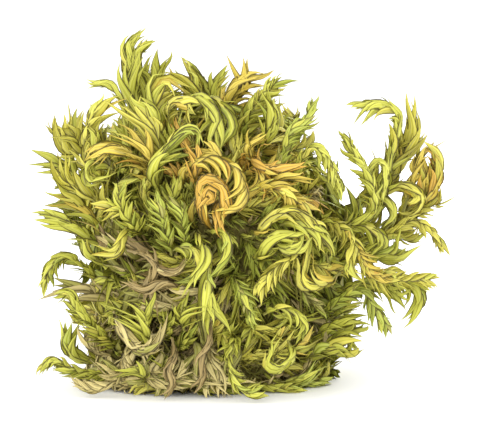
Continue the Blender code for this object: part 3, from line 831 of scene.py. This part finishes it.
def make_long_shoots(material):
    """One piece for each long shoot of the part."""
    for name, habit, hue, radius, *knots in all_shoots():
        blades = Blades()
        stem = Stem(knots, facing_of(knots))
        old = hue == "tan"
        add_stem(blades, stem, STEM_RADIUS, "tan" if old else "olive")
        add_leaves(blades, stem, radius, habit, hue, tone_of("long old" if old else "long", knots))
        branches = BACK_BRANCHES if name.startswith("back") else BRANCHES.get(name, 0)
        add_branches(blades, stem, radius, hue, branches)
        add_locks(blades, name)
        piece = blades.make(f"leafy_{name}", material, slot_of(name, hue))
        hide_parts(f"shoot_{name}")


def brownness(point):
    """How brown the moss is at a place: old and brown low on the left, green elsewhere."""
    low = min(1.0, max(0.0, (37.0 - point.z) / 22.0))
    return low * (0.65 if point.x < 2 else 0.2)


def pick(choices):
    return choices[RANDOM.integers(len(choices))]


def in_patch(point, patch):
    """Whether a place is in a patch of the front."""
    middle_x, middle_z, half_width, half_height = patch
    inside = abs(point.x - middle_x) < half_width and abs(point.z - middle_z) < half_height
    return inside and point.y < -8


def filler_hue(point, kind):
    """Hue and tone of the short shoots by their place and kind."""
    if kind == "under":
        old = RANDOM.random() < 0.3 + 0.65 * brownness(point)
        hues = ("umber", "tan", "tan") if old else ("olive", "green", "lime")
        # Painted light: the undergrowth's pale tone lightens the shade deep in the clump.
        return pick(hues), MIDDLE_TONE["undergrowth"]
    # Shoots in the brown hollow: old brown moss in the darkest tone, painted shade.
    if in_patch(point, BROWN_HOLLOW):
        return pick(("umber", "umber", "olive")), MIDDLE_TONE["hollow"]
    if RANDOM.random() < brownness(point):
        return pick(("tan", "olive", "yellow", "tan")), MIDDLE_TONE["short old"]
    if in_patch(point, GOLDEN_HEART):
        return pick(("gold", "orange", "yellow")), MIDDLE_TONE["short golden"]
    # Fresh shoots take the painted light and shade of their place.
    if RANDOM.random() < GREEN_SHARE:
        return "green", MIDDLE_TONE["short green"] + painted_light_at(point)
    return pick(("lime", "yellow", "lime")), MIDDLE_TONE["short"] + painted_light_at(point)


def swirl(point):
    """A slowly turning direction that gives neighbouring shoots a common sweep."""
    x, y, z = point
    return Vector((
        math.sin(0.11 * z + 1.3) + 0.6 * math.sin(0.17 * y - 0.13 * x),
        math.sin(0.1 * x + 0.12 * z + 2.1),
        math.cos(0.12 * x - 0.09 * y) + 0.5 * math.sin(0.15 * z),
    ))


def short_shoot_feet(apart):
    """Feet of short shoots on the core, at least so far apart, and the directions out of it there."""
    centre_x, half_width, half_depth, top = TOP_DISC
    places = []
    for _ in range(FEET_TRIED):
        height = RANDOM.uniform(0.0, 72.0)  # one foot in nine is on the top
        turn = RANDOM.uniform(-math.pi, math.pi)
        if height > CORE_TOP:
            out = math.sqrt(RANDOM.random()) * Vector((math.cos(turn), math.sin(turn)))
            point = Vector((centre_x + half_width * out.x, half_depth * out.y, top))
            normal = Vector((0.5 * out.x, 0.5 * out.y, 1))
            places.append((point, normal.normalized()))
        else:
            places.append(core_point(turn, height))
    points = np.array([point for point, _ in places])
    free = np.ones(len(places), bool)
    feet = []
    for index, place in enumerate(places):
        if free[index]:
            feet.append(place)
            free &= np.linalg.norm(points - points[index], axis=1) > apart
    return feet


def sweep_of(point, normal):
    """The sideways direction in which a short shoot leans."""
    centre = Vector((0, 0, 36))
    away = (point - centre).normalized()
    sweep = 0.6 * away + 1.2 * swirl(point) + Vector((0, 0, 0.3))
    sweep += Vector(RANDOM.normal(0, 0.3, 3))
    sweep -= sweep.dot(normal) * normal
    return sweep.normalized()


def short_shoot(point, normal, sweep, kind):
    """Knots of a short shoot: it climbs from its foot on the core, and then curls over."""
    length, climbs = CLIMBS[kind]
    behind = point.y > 8 and point.z < 50
    length *= RANDOM.uniform(0.8, LONGEST_BEHIND if behind else LONGEST)
    if point.x > 16 and point.z > 44:
        length *= ON_SHOULDER
    x, y, z = point
    way = 1.0 if math.sin(0.16 * x + 0.11 * y + 0.19 * z) + RANDOM.normal(0, 0.4) > 0 else -1.0
    curl = way * CURLS[kind] * RANDOM.uniform(0.6, 1.3)
    across = normal.cross(sweep)
    place = point.copy()
    knots = [point - 1.5 * normal]
    for step, climb in enumerate(climbs):
        heading = curl * (step + 0.5) / len(climbs)
        ahead = math.cos(heading) * sweep + math.sin(heading) * across
        stride = climb * normal + math.sqrt(1 - climb**2) * ahead
        place = place + length / len(climbs) * stride
        place.z = max(place.z, 0.8)
        knots.append(place)
    return knots


def add_strands(blades):
    """Old tan strands that hang to the ground along the foot of the cushion's front and left."""
    half_width, half_depth = STRAND_LINE
    for turn in np.linspace(math.radians(-172), math.radians(-82), STRAND_COUNT):
        out = Vector((math.cos(turn), math.sin(turn), 0))
        aside = Vector((-out.y, out.x, 0)) * RANDOM.normal(0, 2.5)
        foot = Vector((half_width * out.x, half_depth * out.y, RANDOM.uniform(8, 15)))
        knots = [
            foot + reach * out + sway * aside - Vector((0, 0, fall * foot.z))
            for reach, sway, fall in STRAND_SHAPE
        ]
        stem = Stem(knots, out)
        add_stem(blades, stem, 0.4, "tan")
        hue = pick(("tan", "tan", "tan", "olive"))
        # Painted light: a pale tone that lightens the strands' shade near the floor.
        add_leaves(blades, stem, 1.3, "lock", hue, MIDDLE_TONE["strand"])


def side_of(point):
    """Which side of the cushion a place is on."""
    if point.z > TOP_FROM:
        return "top"
    aside = point.x - MIDDLE_X
    if abs(aside) > abs(point.y):
        return "right" if aside > 0 else "left"
    return "back" if point.y > 0 else "front"


def make_short_shoots(name, material, kinds, apart, radius, rows):
    """Short shoots of these kinds all over the core, joined into pieces by the side they are on."""
    sides = {}
    for point, normal in short_shoot_feet(apart):
        kind = pick(kinds)
        knots = short_shoot(point, normal, sweep_of(point, normal), kind)
        hue, tone = filler_hue(point, kind)
        blades = sides.setdefault(side_of(point), Blades())
        stem = Stem(knots, normal, 1.2)
        add_stem(blades, stem, 0.35, "tan" if hue in ("tan", "umber") else "olive", sides=4)
        full = radius * RANDOM.uniform(0.85, 1.15)
        add_leaves(blades, stem, full, kind, hue, tone, rows=rows, columns=3)
    if name == "short_shoots":
        for side, blades in sides.items():
            add_locks(blades, side)
        add_strands(sides["front"])
    return [blades.make(f"{name}_{side}", material, "green_leaf") for side, blades in sides.items()]


def make_core(material):
    """The matted core that the shoots grow out of, cut off flat underneath."""
    around = 72
    heights = np.linspace(0.0, CORE_TOP, 34).tolist()
    points = []
    for height in heights:
        for turn in np.linspace(0, 2 * math.pi, around, endpoint=False).tolist():
            point, normal = core_point(turn, height)
            lump = 0.9 * math.sin(0.9 * point.x + 0.7 * point.z) * math.sin(0.8 * point.y + 0.5)
            point += lump * min(1.0, height / 4.0) * normal
            points.append(point * MM)
    faces = []
    for level in range(len(heights) - 1):
        for corner in range(around):
            after = (corner + 1) % around
            low, high = level * around, (level + 1) * around
            faces.append((low + corner, low + after, high + after, high + corner))
    faces.append(tuple(reversed(range(around))))
    faces.append(tuple(range((len(heights) - 1) * around, len(heights) * around)))
    mesh = bpy.data.meshes.new("matted_core")
    mesh.from_pydata(points, [], faces)
    mesh.shade_smooth()
    mesh.set_sharp_from_angle(angle=math.radians(60))
    return add_piece(mesh, material)


# -------- studio


def aim(thing, place, ahead):
    """Sets a camera or a light at a place, turned the way ahead."""
    thing.location = place
    thing.rotation_mode = "QUATERNION"
    thing.rotation_quaternion = ahead.to_track_quat("-Z", "Y")
    bpy.context.scene.collection.objects.link(thing)


def make_camera():
    """A long lens in front of the clump, a little above it."""
    camera = bpy.data.objects.new("camera", bpy.data.cameras.new("camera"))
    camera.data.lens = 180
    camera.data.sensor_width = 36
    elevation = math.radians(CAMERA_ELEVATION)
    back = Vector((0.0, -math.cos(elevation), math.sin(elevation)))
    camera.data.clip_start = 0.01
    aim(camera, Vector(CAMERA_TARGET) * MM + CAMERA_DISTANCE * back, -back)
    bpy.context.scene.camera = camera


def make_light(name, place, power):
    data = bpy.data.lights.new(name, "AREA")
    data.energy = power
    data.size = LIGHT_SIZE
    light = bpy.data.objects.new(name, data)
    aim(light, place, Vector(LIGHT_TARGET) - Vector(place))


def make_studio():
    """A plain pale floor, a pale surround and four soft lights."""
    scene = bpy.context.scene
    scene.view_settings.view_transform = "Standard"
    world = bpy.data.worlds.new("surround")
    world.use_nodes = True
    background = world.node_tree.nodes["Background"]
    background.inputs["Color"].default_value = (1, 1, 1, 1)
    background.inputs["Strength"].default_value = SURROUND_STRENGTH
    scene.world = world
    for name, place, power in LIGHTS:
        make_light(name, place, power)
    mesh = bpy.data.meshes.new("floor")
    corners = ((-1, -1), (1, -1), (1, 1), (-1, 1))
    points = [(x * FLOOR_REACH, y * FLOOR_REACH, 0) for x, y in corners]
    mesh.from_pydata(points, [], [(0, 1, 2, 3)])
    floor = bpy.data.objects.new("floor", mesh)
    material, tree, shader = new_material("floor", 0.9, 0.1)
    put(tree, shader, "Base Color", (0.96, 0.96, 0.955))
    mesh.materials.append(material)
    scene.collection.objects.link(floor)


def make_scene():
    make_camera()
    make_studio()
    leaf = leaf_material()
    make_long_shoots(leaf)
    kinds = ("tuft", "lock", "lock", "feather", "feather")
    pieces = make_short_shoots("short_shoots", leaf, kinds, apart=3.4, radius=1.9, rows=7)
    pieces += make_short_shoots("undergrowth", leaf, ("under",), apart=2.1, radius=1.5, rows=5)
    pieces.append(make_core(core_material()))
    for piece in pieces:
        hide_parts("cushion_mat")


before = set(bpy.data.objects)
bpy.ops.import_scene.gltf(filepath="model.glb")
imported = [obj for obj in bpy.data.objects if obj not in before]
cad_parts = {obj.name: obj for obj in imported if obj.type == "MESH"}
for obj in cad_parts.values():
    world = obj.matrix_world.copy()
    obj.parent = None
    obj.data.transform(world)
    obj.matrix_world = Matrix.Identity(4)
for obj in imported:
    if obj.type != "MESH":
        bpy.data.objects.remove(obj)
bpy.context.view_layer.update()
make_scene()
